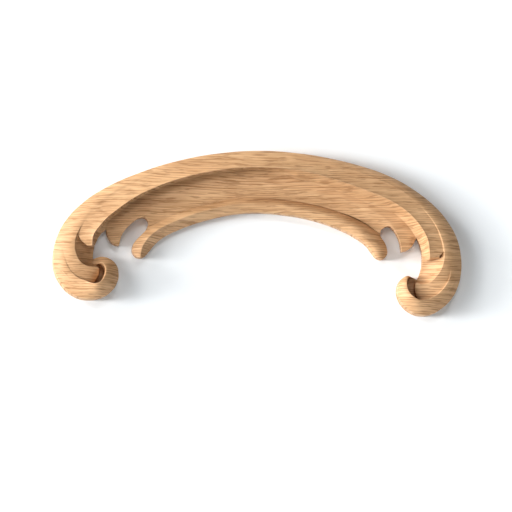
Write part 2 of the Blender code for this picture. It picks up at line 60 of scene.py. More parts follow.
# How finely the carving is stepped.
STATION = 1.0            # mm between stations along a strand
OUTLINE_STEPS = 10       # straight steps between two drawn outline points
RISE_STEPS = 14          # steps of a section from its outer rail up to its crest
FALL_STEPS = 9           # steps from the crest down to the foot
WEB_STEPS = 6            # steps between two rails of the web
BEHIND = 1.0             # mm that the first strand runs on behind the back, before it is cut flat
BEHIND_STEP = 0.3        # mm more for each strand after it, so that no two ends share a plane
CLEAR = 3.0              # mm that the blank and the floor block pass the carving
FLOOR_HEIGHT = 4.0       # mm from the back to the deepest floor

# Roundness of each surface across the strand: above 1 it bulges.
BAND_BULGE = 1.8
LEAF_BULGE = 0.8
LIP_BULGE = 1.1          # left half
LIP_BULGE_RIGHT = 2.0
LIP_INNER = 0.9          # bulge of the lip's inner side, as a share of its outer side's
LIP_TURN = 0.35          # share of the lip's length before it starts to grow rounder
VOLUTE_BULGE = 1.7
VOLUTE_START_BULGE = 1.25
VOLUTE_REACH = 0.4       # share of a volute's length before its bulge is full
SCOOP_HOLLOW = 2.1       # hollow between the band's crest and its foot
WALL_HOLLOW = 25.0       # hollow under the leaf's crest on its left half, a wall at the top
SLOPE_HOLLOW = 2.4       # the same on its right half, a long slope
TIP_HOLLOW = 2.6         # the same at its left tip
LEAF_TURN = 0.42         # share of the leaf's length before the wall starts to ease into the slope
TIP_REACH = 0.25         # share of the leaf's length before its hollow is full
WEB_HOLLOW = 1.8         # hollow between the web's ridge and the lip
SHARP_ANGLE = 32         # degrees between faces, above which the edge between them stays crisp

OUTLINE = (
    (1, 14.9, 0), (-19.9, 13.6, 0), (-39.9, 10, 0), (-59.8, 3.9, 0), (-79.9, -5.2, 0),
    (-90, -12.3, 0), (-97.5, -20, 0), (-102, -28.5, 0), (-104, -37.5, 0), (-103.4, -46, 0),
    (-100, -52.7, 0), (-94.5, -57.8, 0), (-87, -60, 0), (-80, -58.9, 0), (-75, -55.8, 0),
    (-72.2, -51.3, 0), (-71.6, -47, 0), (-72.5, -43.2, 0), (-75.2, -40.2, 0), (-79.5, -38.5, 0),
    (-84.2, -39.6, 1), (-83.9, -35.4, 0), (-82.6, -31.2, 0), (-80.2, -27.1, 0), (-77.5, -24.7, 1),
    (-77, -27.5, 0), (-75.8, -30.2, 0), (-73.5, -32.3, 0), (-71.3, -32.9, 1), (-70, -28.1, 0),
    (-67.3, -24.1, 0), (-64.2, -21.1, 0), (-61.8, -19.3, 0), (-59.8, -18.7, 0), (-57.8, -19.1, 0),
    (-56.5, -20.8, 0), (-57, -23.7, 0), (-59.8, -27.2, 0), (-62.8, -30.3, 0), (-64.4, -33.5, 0),
    (-64, -36.8, 0), (-61.6, -38.8, 0), (-58.7, -38.4, 0), (-56.3, -36, 0), (-53.5, -32.5, 0),
    (-49.5, -28.9, 0), (-40, -24, 0), (-25, -19, 0), (-11.5, -16.3, 0), (1, -15.8, 0),
    (12.5, -16.8, 0), (25, -19, 0), (40, -24, 0), (49, -28.8, 0), (53.2, -32.1, 0),
    (55.8, -35.6, 0), (58, -38.1, 0), (60.8, -38.7, 0), (62.9, -36.8, 0), (63.1, -34, 0),
    (61.9, -30.5, 0), (60.1, -27.5, 0), (60.1, -24.5, 0), (62, -22.7, 0), (64.2, -22.2, 0),
    (66.5, -23.9, 0), (68.5, -26.9, 0), (69.8, -30.5, 0), (70.5, -34.8, 1), (73, -34.2, 0),
    (75.2, -32.7, 0), (76.8, -30.2, 0), (78, -27.7, 1), (79.8, -31.3, 0), (80.8, -35, 0),
    (81, -40, 0), (80.3, -44.5, 0), (78.5, -48.8, 1), (74.7, -47.4, 0), (71.3, -48, 0),
    (68.9, -50.8, 0), (68.1, -54.5, 0), (68.9, -58.6, 0), (71.2, -62.2, 0), (74.8, -65.2, 0),
    (79.5, -66.8, 0), (85, -66.2, 0), (90.5, -63.3, 0), (95.2, -58.7, 0), (98.4, -52.6, 0),
    (100.1, -45.4, 0), (100, -37.1, 0), (97.8, -28.1, 0), (93.1, -19.8, 0), (86.3, -11.9, 0),
    (76.9, -4.5, 0), (64.6, 2.4, 0), (49.7, 7.6, 0), (33.8, 11.4, 0), (17.9, 13.8, 0),
)
BAND = (
    ((-83.9, -51.6, 10), (-81.8, -48.2, 10.6), (-80.8, -47.2, 4.5)),
    ((-85.7, -53, 11), (-81.5, -46.2, 11.2), (-80.4, -45.3, 4.5)),
    ((-88.5, -53.5, 12), (-82, -44.4, 12.1), (-80.8, -43, 4.5)),
    ((-91.6, -52.8, 12.2), (-84.4, -44.1, 12.7), (-83, -41.7, 4.6)),
    ((-95.6, -50.8, 12.3), (-87.6, -43.7, 13.1), (-84.5, -40.6, 4.8)),
    ((-99, -47.5, 12), (-90.7, -41.9, 13.3), (-84.2, -39.2, 5)),
    ((-102.4, -42.4, 10.5), (-92.8, -38.6, 13.4), (-83.2, -37.3, 5)),
    ((-105.5, -35.7, 8), (-93.8, -34.2, 13.8), (-82.2, -34.2, 5)),
    ((-105, -29.7, 8), (-93.3, -29.2, 14), (-81.4, -30.7, 5)),
    ((-102, -22.7, 8), (-91, -24.5, 14), (-82, -27.5, 6)),
    ((-97, -15.7, 8), (-87, -19, 14), (-84.2, -20.2, 8)),
    ((-90.5, -9.9, 8), (-82, -13.7, 13.8), (-80.3, -14.5, 9)),
    ((-78.4, -3.2, 8), (-75.7, -8.4, 13.4), (-74.4, -9.3, 9)),
    ((-65.6, 3.1, 8), (-63.9, -1.9, 12.9), (-62.9, -2.9, 9)),
    ((-46, 9.7, 8), (-45.3, 5.2, 12.5), (-44.6, 4, 9)),
    ((-23.4, 14.5, 8), (-23.1, 10.3, 12.3), (-22.5, 9.1, 9)),
    ((0.3, 16.1, 8), (-0.1, 11.9, 12.3), (0.2, 10.7, 9)),
    ((20.5, 15, 8), (19.4, 10.7, 12.3), (19.5, 9.5, 9)),
    ((40.6, 11.3, 8), (39.2, 6.9, 12.5), (39.1, 5.8, 9)),
    ((59.8, 5.7, 8), (57.4, 1.1, 12.8), (57.1, 0.1, 9)),
    ((74, -1, 8), (70.6, -5.4, 13.3), (70.1, -6.2, 9)),
    ((84.3, -8.4, 8), (79.3, -12.7, 13.8), (78.6, -13.3, 9)),
    ((92.3, -14.9, 8), (84.8, -19, 14), (82.8, -20.2, 8)),
    ((97.8, -23.2, 8), (88.4, -25, 14), (81, -27.5, 6)),
    ((100.8, -31.2, 8), (90.8, -32.2, 14), (79.8, -32.4, 5)),
    ((101.5, -39.2, 8), (91.2, -38.7, 13.8), (78.8, -37.4, 5)),
    ((98.9, -47.4, 9.9), (89.3, -44.9, 13.4), (78.8, -41.7, 5)),
    ((95.2, -52.6, 12.2), (86.1, -48.9, 12.7), (78.7, -45.2, 5)),
    ((91.4, -56.9, 12.7), (83.2, -51.2, 11.9), (78.6, -47.7, 4.8)),
    ((86.9, -59.9, 12.7), (80, -51.6, 11.2), (78.1, -48.9, 4.6)),
    ((82.9, -61.3, 12.2), (77.7, -50.7, 10.7), (77.6, -49.3, 4.5)),
    ((79.8, -60.7, 11.2), (77, -51.9, 10.5), (76.9, -51.2, 4.5)),
    ((78.3, -59.1, 10), (76.8, -54.7, 10.6), (76.7, -54.1, 4.5)),
)
LEAF = (
    ((-87.4, -33.5, 12.6), (-85.1, -33.6, 13.2), (-81.6, -34.1, 4)),
    ((-89.1, -32.2, 12.9), (-85.1, -31.5, 14.7), (-80.3, -30.8, 4.3)),
    ((-90.7, -30.7, 13.2), (-85, -29.6, 15.6), (-79.6, -28.4, 4.8)),
    ((-91.7, -28.8, 13.3), (-84.4, -27.9, 15.8), (-78.8, -26.5, 5.2)),
    ((-92.4, -26.4, 13.4), (-83.5, -26.3, 16), (-77.5, -25.1, 5.5)),
    ((-91.9, -23.7, 13.6), (-81.9, -24.3, 16.1), (-75.9, -24.7, 5.8)),
    ((-88.5, -18.7, 13.7), (-78.4, -20.3, 16.2), (-72.5, -21.3, 6)),
    ((-82.5, -13.1, 13.6), (-72.4, -15.3, 16.3), (-66.6, -16.6, 6.2)),
    ((-75.9, -8.1, 13.3), (-63.9, -9.4, 16.4), (-58.5, -10.1, 6.2)),
    ((-64, -1.6, 12.8), (-52.9, -4, 16.5), (-48.1, -5.1, 6.3)),
    ((-45.4, 5.5, 12.4), (-38.9, 0.8, 16.5), (-35.3, -1.8, 6.4)),
    ((-23.1, 10.6, 12.2), (-20.9, 4.7, 16.5), (-19.5, 0.7, 6.5)),
    ((-0.1, 12.2, 12.2), (-0.4, 6.1, 16.5), (-0.7, 1.9, 6.5)),
    ((19.5, 11, 12.3), (17.6, 4.8, 16.5), (16.2, 0.3, 6.5)),
    ((39.2, 7.2, 12.8), (36.1, 0.3, 16.3), (33.6, -5.1, 6.5)),
    ((57.5, 1.4, 13.2), (52.1, -5.1, 15.9), (47.7, -10.5, 6.6)),
    ((70.8, -5.2, 13.5), (64.1, -10, 15.5), (58.1, -14.4, 6.6)),
    ((79.8, -12.3, 13.7), (71.4, -14.6, 15.2), (64.7, -16.4, 6.4)),
    ((85.7, -18.6, 13.6), (77.2, -20.1, 15), (70.8, -21.2, 6.2)),
    ((89.4, -24.7, 13.4), (80.9, -25.3, 14.9), (75, -25.7, 5.8)),
    ((91.1, -30.2, 13.2), (83, -30.1, 14.9), (78.5, -29.7, 5.5)),
    ((91.2, -33.7, 13.3), (83.6, -33.8, 14.8), (79.3, -33.5, 5.2)),
    ((90.5, -35.8, 13.5), (83.8, -36.6, 14.3), (79.8, -35.8, 4.8)),
    ((88.7, -38, 13.4), (84, -38.8, 13), (80.3, -38.2, 4.3)),
    ((89.7, -38.5, 11), (84.3, -39.4, 8.8), (81, -39.7, 4)),
)
WEB = (
    ((-78.4, -33.4, 5), (-76.1, -35.1, 6.4), (-71.6, -35.6, 7.2), (-68.6, -35.6, 6.9)),
    ((-79.5, -28.5, 5.2), (-75.6, -30.1, 6.6), (-70.1, -31.1, 7.4), (-66.6, -31.6, 7)),
    ((-79, -24, 5.6), (-74.1, -25.6, 6.6), (-68.2, -26.2, 7.7), (-64.1, -27.1, 6.8)),
    ((-76.5, -19.5, 6), (-71.6, -21.1, 6.5), (-65.2, -21.9, 8), (-60.6, -23.6, 6.7)),
    ((-72.5, -15.5, 6.1), (-67.1, -17.1, 6.4), (-61.2, -19.5, 8.2), (-56.8, -23.1, 6.7)),
    ((-67.5, -11.8, 6.1), (-61.6, -13.3, 6.4), (-56.2, -16.2, 8.1), (-51.6, -20.9, 6.9)),
    ((-59.5, -7, 6.1), (-55.1, -9.6, 6.4), (-50.7, -13.9, 7.6), (-46.1, -18.1, 7.1)),
    ((-50.5, -3, 6.2), (-46.6, -5.8, 6.5), (-43.1, -10.6, 7.3), (-40.1, -15.5, 7.2)),
    ((-37.1, 1.7, 6.4), (-35.1, -1.8, 6.6), (-33.1, -6.9, 7.2), (-31.3, -12.8, 7.1)),
    ((-19.6, 5.2, 6.7), (-18.6, 1.4, 6.8), (-17.6, -3.6, 7.3), (-16.7, -9.6, 6.9)),
    ((0.4, 6.4, 6.8), (0.4, 2.6, 6.9), (0.3, -3.2, 7.5), (0.4, -8.5, 6.6)),
    ((17.9, 5.2, 6.7), (17.4, 1.4, 6.9), (16.5, -3.9, 7.6), (15.2, -9.7, 6.4)),
    ((35.4, 1.2, 6.5), (34.1, -2.1, 7), (32.7, -6.6, 7.6), (30.5, -12.5, 6.2)),
    ((48.4, -3.1, 6.4), (45.9, -6.1, 7.1), (43.4, -9.6, 7.7), (39.5, -15.3, 6.2)),
    ((58.4, -7.3, 6.4), (54.9, -10.1, 7.1), (50.9, -12.3, 7.7), (46, -17.5, 6.2)),
    ((66.9, -11.3, 6.3), (63.4, -13.9, 7.1), (58, -15.9, 7.7), (52.5, -20.8, 6.2)),
    ((72.5, -15.3, 6.2), (68.4, -17.6, 7.1), (62.6, -18.8, 7.7), (57, -24, 6.1)),
    ((76.5, -20, 6), (71.9, -22.1, 7), (66, -22.4, 7.7), (60.9, -26.6, 6.3)),
    ((78.8, -25, 5.6), (73.9, -26.1, 6.8), (67.8, -26.7, 7.7), (63.9, -28.1, 6.8)),
    ((78.3, -29.5, 5.2), (74.9, -30.6, 6.7), (69.4, -31.1, 7.4), (65.9, -31.6, 7)),
    ((77.7, -35.4, 5), (73.9, -36.6, 6.5), (70.4, -36.6, 7.2), (67.4, -36.6, 6.9)),
)
LIP = (
    ((-66, -41, 6), (-60.5, -41.8, 9), (-54.4, -40.9, 4)),
    ((-66.8, -36.5, 6), (-60.6, -37.3, 9.3), (-54.3, -37.3, 3.5)),
    ((-66, -33, 6), (-59.7, -33.6, 9.6), (-52.3, -34.3, 3)),
    ((-63.5, -29.5, 5.8), (-57.5, -30, 9.8), (-50.3, -31.8, 3)),
    ((-60, -25.7, 5.6), (-53.6, -26.3, 10), (-46.8, -29.3, 3)),
    ((-56.6, -22.7, 5.6), (-49.2, -23.5, 10), (-42.8, -27, 3)),
    ((-51, -20, 6.4), (-44.3, -21.2, 10), (-37.8, -24.8, 3)),
    ((-44.3, -16.7, 6.6), (-38.5, -18.8, 10), (-32.3, -22.8, 3.2)),
    ((-36.8, -13.9, 6.6), (-31.6, -16.4, 10), (-25.8, -21.1, 3.6)),
    ((-26.4, -11.2, 6.4), (-22.8, -14.1, 10), (-18.4, -19.4, 4.2)),
    ((-14.1, -8.7, 6.6), (-12.4, -12, 10), (-9.9, -18.2, 4.6)),
    ((0.4, -8.5, 6.6), (0.1, -11.5, 10), (0.6, -17.8, 5)),
    ((14.4, -9.7, 6.5), (12.6, -12.9, 10), (11.6, -18.9, 5)),
    ((25.9, -11.6, 6.3), (23.1, -14.9, 10), (21.1, -20.2, 5)),
    ((37.5, -14.7, 6.1), (34.1, -17.9, 10), (30.1, -22.7, 5)),
    ((45.5, -17.7, 5.9), (41.1, -20.6, 10), (36.6, -24.9, 5)),
    ((52, -20.7, 5.7), (47.1, -23.9, 10), (42.1, -27.7, 5)),
    ((57, -24, 5.4), (51.6, -27.6, 10), (46.6, -30.7, 5)),
    ((61.8, -26.8, 5), (55, -31.3, 9.8), (50.1, -33.4, 5)),
    ((64.6, -30.9, 5), (58.2, -34.3, 9.6), (52.6, -36.4, 5)),
    ((65.6, -34.9, 5), (59.1, -37.3, 9.3), (53.1, -38.9, 5)),
    ((65.6, -39.4, 5), (59.2, -41.3, 9), (53.6, -41.4, 5)),
)
VOLUTE_LEFT = (
    ((-103.6, -23.6, 7.2), (-98, -24.5, 11.2), (-97.4, -24.6, 7)),
    ((-105.4, -28.7, 7.7), (-98.7, -29, 11.9), (-98.1, -29.1, 8)),
    ((-105.7, -34.2, 8), (-99.1, -34.1, 12.2), (-98.5, -34.1, 9)),
    ((-105.7, -39.7, 8.2), (-98.7, -39.3, 12.3), (-98.1, -39.3, 9)),
    ((-105.2, -45.7, 8.2), (-97.2, -43.9, 12.7), (-96.6, -43.7, 9)),
    ((-103.2, -51.7, 8.2), (-94.6, -47.5, 12.9), (-94.1, -47.3, 9)),
    ((-99.7, -56.7, 8), (-91.4, -50, 13.4), (-91, -49.6, 8)),
    ((-94.7, -60.5, 8), (-88.5, -51.1, 14.2), (-88.2, -50.6, 6.5)),
    ((-88.2, -62, 8), (-85.8, -52.3, 15.4), (-85.7, -51.8, 4.5)),
    ((-81.7, -61.2, 8), (-82.7, -52.5, 16.5), (-82.8, -51.9, 4.5)),
    ((-76.2, -58.5, 8), (-80.3, -51, 16.2), (-80.6, -50.5, 4.5)),
    ((-72.2, -54.2, 8), (-78.8, -48.3, 15.3), (-79.3, -47.9, 4.5)),
    ((-70.3, -48.7, 7.8), (-78.3, -45.6, 14), (-78.8, -45.4, 4.5)),
    ((-70.9, -43.2, 7.5), (-78.9, -43.1, 12.2), (-79.7, -43.1, 6)),
    ((-74.1, -39.3, 6.8), (-80.4, -41.8, 10.3), (-81.6, -42.3, 7.2)),
    ((-78.5, -37.2, 5.4), (-82, -41.7, 6.7), (-83, -43, 5.3)),
    ((-82.4, -37.4, 4.6), (-83.7, -42, 5.3), (-84.1, -43.4, 4.8)),
    ((-85.8, -38.3, 3.6), (-85.6, -42.4, 4.2), (-85.5, -43.9, 3.8)),
)
VOLUTE_RIGHT = (
    ((100.1, -34.7, 7.6), (93.6, -35, 12), (93, -35.1, 7)),
    ((101.1, -39.7, 7.8), (94.1, -39.6, 12.3), (93.5, -39.6, 8)),
    ((101.3, -44.7, 8), (94.5, -43.8, 12.5), (93.9, -43.8, 9)),
    ((100.5, -50.2, 8.2), (93.9, -48.4, 12.8), (93.3, -48.2, 9)),
    ((98.3, -56, 8.2), (91.8, -52.4, 13.3), (91.3, -52.1, 9)),
    ((94.5, -61.2, 8.2), (89, -55.7, 13.9), (88.6, -55.2, 9)),
    ((89.8, -65.2, 8), (85.8, -58, 14.6), (85.5, -57.5, 8)),
    ((83.8, -68.2, 8), (82.2, -59.5, 15.4), (82, -58.9, 6.5)),
    ((77.3, -68.5, 8), (78.7, -59.7, 16.1), (78.8, -59.1, 4.5)),
    ((71.5, -65.7, 8), (75.9, -58.4, 16.5), (76.2, -57.9, 4.5)),
    ((67.5, -61, 8), (73.7, -56.3, 16.2), (74.2, -56, 4.5)),
    ((65.8, -55.4, 7.8), (72.6, -53.8, 15.3), (73.1, -53.6, 4.5)),
    ((66.9, -50.4, 7.4), (72.4, -50.9, 14.2), (73, -50.9, 4.5)),
    ((69.9, -46.1, 6.8), (73.2, -48.5, 12.2), (73.8, -48.9, 4.5)),
    ((73, -44.5, 6), (74.4, -47.1, 9.2), (75, -48.1, 4.3)),
    ((75.8, -44.4, 4.8), (76, -47, 6), (76, -48.2, 4)),
    ((79.7, -45.8, 3.8), (78.4, -49.1, 4.4), (78, -50.1, 3.6)),
)

WELD = 0.00001           # metres, within which two points of the board's outline are one

# Camera: half a millimetre to a pixel, through a lens long enough to keep the arms parallel.
MM_A_PIXEL = 0.5
CROWN_PIXEL = (260, 182)  # where the plan's origin falls in the picture
LENS = 800
SENSOR = 36
CLIP_NEAR = 0.01         # metres
CLIP_FAR = 100           # metres
VIEW_TURN = -5.0         # degrees round from straight ahead, to the left
VIEW_TILT = -5.0         # degrees up from level, so from a little below

# Studio: broad soft daylight, mostly from the left. Each sun has its degrees out from the wall, its degrees
# round from the right, and its power.
BOARD_COLOUR = (0.915, 0.94, 0.955, 1)
BOARD_ROUGHNESS = 0.9
BOARD_REACH = 3.0        # metres
BOARD_SET_IN = 0.0001    # metres that the board stands in front of the onlay's flat back
FLOOR_LEVEL = -1.2       # metres
DAYLIGHT = (
    (6, 150, 1.95), (6, 180, 0.94), (20, 180, 2.25), (20, 150, 0.35),
    (35, 180, 1.00), (35, 150, 0.56), (50, 180, 0.47), (67, 90, 0.62),
)
DAYLIGHT_SPREAD = 15     # degrees
BACK_TOWARD = (-0.3, 1, 0.3)  # direction of the sun that lights the flat back
BACK_POWER = 2.4
AROUND_POWER = 0.045
AROUND_COLOUR = (0.80, 0.92, 1.0, 1)
BACKGROUND_COLOUR = (0.95, 0.95, 0.95, 1)

# Noise in the oak: cells to a millimetre along x, y and z, a shift that sets it apart from the others, and
# its octaves of detail.
WANDER = ((0.011, 0.03, 0.03), (0, 0, 0), 1.5)
DRIFT = ((0.045, 0.08, 0.08), (7.0, 3.0, 1.0), 1.0)
RINGS = ((0.006, 0.03, 0.16), (0, 0, 0), 3.0)
BANDS = ((0.008, 0.02, 0.14), (3.0, 9.0, 4.0), 3.0)
PATCHES = ((0.03, 0.06, 0.06), (1.0, 5.0, 8.0), 2.0)
STREAKS = ((0.045, 0.04, 1.2), (0, 0, 0), 1.0)
FINE = ((0.10, 0.06, 1.9), (5.0, 0.0, 2.0), 0.0)
LINE_PHASE = ((0.02, 0.02, 0.33), (2.0, 2.0, 7.0), 2.0)
LINE_BREAKS = ((0.06, 0.05, 0.8), (6.0, 8.0, 1.0), 1.0)
DASHES = ((0.13, 0.07, 1.7), (9.0, 4.0, 6.0), 1.0)
TOOL_MARKS = ((0.12, 0.16, 0.16), (4.0, 4.0, 4.0), 1.0)
NOISE_MIDDLE = 0.5

# Grain and growth rings, in millimetres unless a comment says otherwise.
GRAIN_WANDER = 8.0
GRAIN_DRIFT = 1.2
RING_PITCH = 3.2
RING_UNEVEN = 7.0
RING_RISE = 0.9          # rings crossed for each ring pitch up the board
RING_LEAN = 0.15         # the same, through the board
EARLY_START = (0.0, 0.12)  # share of a ring in which its early wood sets in
EARLY_END = (0.25, 0.85)   # share of a ring in which it dies away
EARLY_MEAN = 0.4
LINE_PITCH = 1.15
LINE_UNEVEN = 5.0        # radians
RAY_CELL = (4.5, 3.0, 0.7)
RAY_SHIFT = (2.0, 6.0, 3.0)

# How much each field adds to the wood's tone, and how far the tone spreads from its middle.
BAND_TONE = 0.7
STREAK_TONE = 0.55
FINE_TONE = 1.25
EARLY_TONE = 0.14
TONE_HALF = 0.55

# The part of each field that shows, from where it starts to where it is full.
PATCH_RANGE = (0.42, 0.68)
LINE_RANGE = (0.0, 0.9)
LINE_BREAK_RANGE = (0.38, 0.62)
DASH_EDGE = 0.59
DASH_EARLY = 0.06        # how much lower that edge is in early wood
DASH_SOFT = (0.0, 0.09)
RAY_RANGE = (0.10, 0.26)
# The next three set the painted shade in corners and creases and the painted highlight on open crests.
CORNER_SHADE_RANGE = (0.25, 0.85)
OPEN_RANGE = (0.6, 0.9)
BEND_RANGE = (0.995, 0.90)

# Colours, and the most that each is mixed in.
OAK_PALE = (0.725, 0.45, 0.24, 1)
OAK_DARK = (0.47, 0.255, 0.115, 1)
OAK_RED = (0.55, 0.28, 0.13, 1)
OAK_PORE = (0.27, 0.13, 0.05, 1)
OAK_LINE = (0.37, 0.185, 0.075, 1)
OAK_RAY = (0.78, 0.53, 0.30, 1)
# Painted shade: the colour that corners and creases are darkened toward.
OAK_PAINTED_SHADE = (0.36, 0.18, 0.07, 1)
# Painted highlight: the colour that open crests are lightened toward.
OAK_PAINTED_HIGHLIGHT = (0.83, 0.60, 0.37, 1)
PATCH_SHARE = 0.22
LINE_SHARE = 0.8
PORE_SHARE = 0.55
RAY_SHARE = 0.22
# The last two are the painted shade in corners and the painted highlight on crests.
CORNER_SHADE_SHARE = 0.25
CREST_HIGHLIGHT_SHARE = 0.35

# Surface of the oak.
ROUGH_LOW = 0.46
ROUGH_FINE = 0.14        # more where the fine streaks are full
ROUGH_PORE = 0.18        # more in a pore
OAK_SPECULAR = 0.3
EDGE_RADIUS = 0.00035    # metres
EDGE_SAMPLES = 6
# Ambient occlusion, which sets where the corner shade is painted and which crests get the painted highlight.
CORNER_REACH = 0.004     # metres
CORNER_SAMPLES = 4
TOOL_DEPTH = 0.00025     # metres
GRAIN_DEPTH = 0.00008    # metres, shared out by the three shares below
FINE_HEIGHT = 0.35
STREAK_HEIGHT = 0.45
PORE_HEIGHT = 0.6


def place(x, z, height):
    """A drawn point in millimetres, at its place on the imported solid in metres. Height is off the back."""
    left = node_low.x + (x - DRAWN_LOW[0]) / (DRAWN_HIGH[0] - DRAWN_LOW[0]) * (node_high.x - node_low.x)
    up = node_low.z + (z - DRAWN_LOW[1]) / (DRAWN_HIGH[1] - DRAWN_LOW[1]) * (node_high.z - node_low.z)
    return (left, node_low.y * height / DRAWN_THICKNESS, up)


def slopes_of(knots, values):
    """Slopes of a smooth curve through the values, each from the values on both sides of it."""
    chords = [
        (after - before) / (end - start)
        for before, after, start, end in zip(values, values[1:], knots, knots[1:])
    ]
    slopes = [chords[0]]
    for i in range(1, len(chords)):
        before = knots[i] - knots[i - 1]
        after = knots[i + 1] - knots[i]
        slopes.append((chords[i - 1] * after + chords[i] * before) / (before + after))
    slopes.append(chords[-1])
    return slopes


def between(share, length, start, end, slope_start, slope_end):
    """The value at a share of the way from start to end, leaving and arriving at the slopes."""
    square = share * share
    cube = square * share
    return (
        (2 * cube - 3 * square + 1) * start
        + (cube - 2 * square + share) * length * slope_start
        + (3 * square - 2 * cube) * end
        + (cube - square) * length * slope_end
    )


def stations(ribs):
    """Ribs at close steps along a strand, smooth through the drawn ones."""
    knots = [0.0]
    for before, after in zip(ribs, ribs[1:]):
        moves = [math.dist(old[:2], new[:2]) for old, new in zip(before, after)]
        knots.append(knots[-1] + sum(moves) / len(moves))
    rails = range(len(ribs[0]))
    slopes = [
        [slopes_of(knots, [rib[rail][axis] for rib in ribs]) for axis in range(3)]
        for rail in rails
    ]
    found = []
    for i, (rib, after) in enumerate(zip(ribs, ribs[1:])):
        length = knots[i + 1] - knots[i]
        pieces = max(1, round(length / STATION))
        for piece in range(pieces):
            found.append([
                [
                    between(
                        piece / pieces, length, rib[rail][axis], after[rail][axis],
                        slopes[rail][axis][i], slopes[rail][axis][i + 1],
                    )
                    for axis in range(3)
                ]
                for rail in rails
            ])
    found.append(ribs[-1])
    return found


def mixed(start, end, share, height):
    x = start[0] + (end[0] - start[0]) * share
    z = start[1] + (end[1] - start[1]) * share
    return (x, z, height)


def grown(start, full, share):
    """A value that grows evenly from its start, and stays once it is full."""
    return start + (full - start) * min(1, max(0, share))


def ridge(rib, bulge, fall):
    """Section points of a strand with a crest: they bulge up to it, then go down to the foot."""
    outer, crest, foot = rib
    points = []
    for step in range(RISE_STEPS + 1):
        share = step / RISE_STEPS
        height = outer[2] + (crest[2] - outer[2]) * (1 - (1 - share) ** bulge)
        points.append(mixed(outer, crest, share, height))
    for step in range(1, FALL_STEPS + 1):
        share = (step / FALL_STEPS) ** 2
        height = foot[2] + (crest[2] - foot[2]) * fall(share)
        points.append(mixed(crest, foot, share, height))
    return points


def band_section(rib, _):
    return ridge(rib, BAND_BULGE, lambda share: (1 - share) ** SCOOP_HOLLOW)


def leaf_section(rib, along):
    """Under the leaf's crest stands a wall on its left half, and a long hollow slope on its right half."""
    hollow = grown(WALL_HOLLOW, SLOPE_HOLLOW, (along - LEAF_TURN) / (1 - 2 * LEAF_TURN))
    hollow = grown(TIP_HOLLOW, hollow, along / TIP_REACH)
    return ridge(rib, LEAF_BULGE, lambda share: (1 - share) ** hollow)


def lip_section(rib, along):
    """The lip has a crisp crest on its left half and a rounder one on its right half."""
    bulge = grown(LIP_BULGE, LIP_BULGE_RIGHT, (along - LIP_TURN) / (1 - 2 * LIP_TURN))
    return ridge(rib, bulge, lambda share: 1 - share ** (bulge * LIP_INNER))


def volute_section(rib, along):
    """A volute grows out of the band, so it starts with the band's own roundness there."""
    bulge = grown(VOLUTE_START_BULGE, VOLUTE_BULGE, along / VOLUTE_REACH)
    return ridge(rib, bulge, lambda share: 1 - share)


def web_section(rib, _):
    """Section of the web: smooth over three rails up to its ridge, then hollow down to the lip."""
    *rise, inner = rib
    slopes = slopes_of((0, 1, 2), [rail[2] for rail in rise])
    points = []
    for i, (rail, after) in enumerate(zip(rise, rise[1:])):
        for step in range(WEB_STEPS):
            share = step / WEB_STEPS
            height = between(share, 1, rail[2], after[2], slopes[i], slopes[i + 1])
            points.append(mixed(rail, after, share, height))
    crest = rise[-1]
    for step in range(2 * WEB_STEPS + 1):
        share = step / (2 * WEB_STEPS)
        height = inner[2] + (crest[2] - inner[2]) * (1 - share) ** WEB_HOLLOW
        points.append(mixed(crest, inner, share, height))
    return points


def strand(name, ribs, section, behind):
    """Lofts a closed solid through the ribs, from its carved top to a plane behind the back."""
    mesh = bmesh.new()
    rings = []
    ribs = stations(ribs)
    for order, rib in enumerate(ribs):
        top = section(rib, order / (len(ribs) - 1))
        outline = [(top[0][0], top[0][1], -behind), *top, (top[-1][0], top[-1][1], -behind)]
        rings.append([mesh.verts.new(place(*point)) for point in outline])
    for ring, after in zip(rings, rings[1:]):
        for i in range(len(ring)):
            j = (i + 1) % len(ring)
            mesh.faces.new((ring[i], ring[j], after[j], after[i]))
    mesh.faces.new(rings[0])
    mesh.faces.new(reversed(rings[-1]))
    bmesh.ops.triangulate(mesh, faces=list(mesh.faces))
    bmesh.ops.recalc_face_normals(mesh, faces=list(mesh.faces))
    return as_object(name, mesh)


def as_object(name, mesh):
    data = bpy.data.meshes.new(name)
    mesh.to_mesh(data)
    mesh.free()
    made = bpy.data.objects.new(name, data)
    bpy.context.scene.collection.objects.link(made)
    return made


def blank(name):
    """The sawn outline as a board, flat at the back and past the highest crest in front."""
    curve = bpy.data.curves.new(name, "CURVE")
    curve.dimensions = "2D"
    curve.fill_mode = "BOTH"
    depth = -node_low.y + CLEAR * MM
    curve.extrude = depth / 2
    curve.resolution_u = OUTLINE_STEPS
    spline = curve.splines.new("BEZIER")
    spline.bezier_points.add(len(OUTLINE) - 1)
    spline.use_cyclic_u = True
    for point, (x, z, sharp) in zip(spline.bezier_points, OUTLINE):
        px, _, pz = place(x, z, 0)
        point.co = (px, pz, 0)
        point.handle_left_type = "VECTOR" if sharp else "AUTO"
        point.handle_right_type = "VECTOR" if sharp else "AUTO"
    drawn = bpy.data.objects.new(name + "_curve", curve)
    bpy.context.scene.collection.objects.link(drawn)
    drawn.rotation_euler = (math.radians(90), 0, 0)
    drawn.location = (0, -depth / 2, 0)
    bpy.context.view_layer.update()
    graph = bpy.context.evaluated_depsgraph_get()
    data = bpy.data.meshes.new_from_object(drawn.evaluated_get(graph))
    data.transform(drawn.matrix_world)
    bpy.data.objects.remove(drawn)
    mesh = bmesh.new()
    mesh.from_mesh(data)
    bpy.data.meshes.remove(data)
    bmesh.ops.remove_doubles(mesh, verts=list(mesh.verts), dist=WELD)
    bmesh.ops.recalc_face_normals(mesh, faces=list(mesh.faces))
    return as_object(name, mesh)


